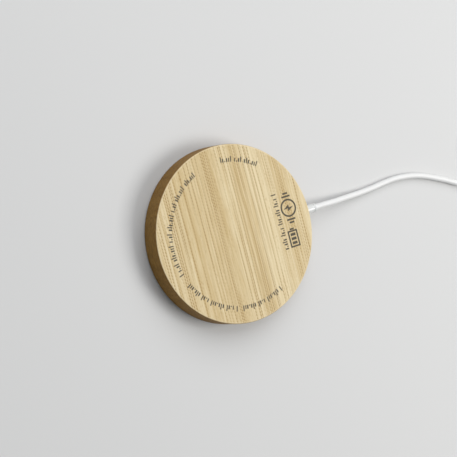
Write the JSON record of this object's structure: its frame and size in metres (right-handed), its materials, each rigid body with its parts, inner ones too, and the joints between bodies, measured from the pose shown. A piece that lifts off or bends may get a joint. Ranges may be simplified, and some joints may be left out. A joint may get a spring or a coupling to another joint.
{
  "type": "wireless charging pad",
  "caption": "Round magnetic wireless charging pad in a turned bamboo case, with a thin white cord that ends in a small reversible plug.",
  "frame": {"origin": "centre of the pad's footprint, on the plane that its charging side rests on", "axes": "+Z out of the bamboo back, +X along the cord where it leaves the side wall, +Y completes the right-handed frame"},
  "size_m": [0.1813, 0.06, 0.0097],
  "materials": {
    "bamboo": "fine sanded, unvarnished",
    "cover_plastic": "fine moulded texture",
    "grip_rubber": "matt silicone",
    "tape": "adhesive film",
    "tray_plastic": "moulded",
    "copper": "enamelled litz wire",
    "ferrite": "sintered",
    "magnet": "nickel plated",
    "yoke_steel": "rolled sheet",
    "film": "amber film",
    "board": "solder mask over fibre board",
    "chip": "moulded package",
    "capacitor": "fired ceramic",
    "inductor": "pressed powder",
    "sensor": "bead",
    "red_wire": "wire insulation",
    "white_wire": "wire insulation",
    "green_wire": "wire insulation",
    "black_wire": "wire insulation",
    "strain_plastic": "smooth, slightly translucent",
    "cord_jacket": "smooth matt jacket",
    "plug_plastic": "moulded satin",
    "plug_steel": "plated stainless",
    "insert_plastic": "moulded",
    "strap": "hook-and-loop strap"
  },
  "bodies": {
    "root": {"bamboo_case": "bamboo", "bridge_chip_1": "chip", "bridge_chip_2": "chip", "charging_cover": "cover_plastic", "circuit_board": "board", "coil_carrier": "tray_plastic", "coil_thermistor": "sensor", "controller_chip": "chip", "cord_coil": "cord_jacket", "cord_tail": "cord_jacket", "cord_tie": "strap", "cord_tube": "cord_jacket", "cover_tape": "tape", "current_sense_resistor": "chip", "ferrite_disc": "ferrite", "grip_ring": "grip_rubber", "input_capacitor_1": "capacitor", "input_capacitor_2": "capacitor", "insulating_film": "film", "magnet_01": "magnet", "magnet_02": "magnet", "magnet_03": "magnet", "magnet_04": "magnet", "magnet_05": "magnet", "magnet_06": "magnet", "magnet_07": "magnet", "magnet_08": "magnet", "magnet_09": "magnet", "magnet_10": "magnet", "magnet_11": "magnet", "magnet_12": "magnet", "magnet_13": "magnet", "magnet_14": "magnet", "magnet_15": "magnet", "magnet_16": "magnet", "magnet_yoke": "yoke_steel", "plug_body": "plug_plastic", "plug_insert": "insert_plastic", "plug_shell": "plug_steel", "power_inductor": "inductor", "regulator_chip": "chip", "resonant_capacitor_1": "capacitor", "resonant_capacitor_2": "capacitor", "resonant_capacitor_3": "capacitor", "resonant_capacitor_4": "capacitor", "strain_relief": "strain_plastic", "thermistor_lead": "white_wire", "transmitter_coil": "copper", "wire_data_minus": "white_wire", "wire_data_plus": "green_wire", "wire_ground": "black_wire", "wire_power": "red_wire"}
  },
  "joints": []
}
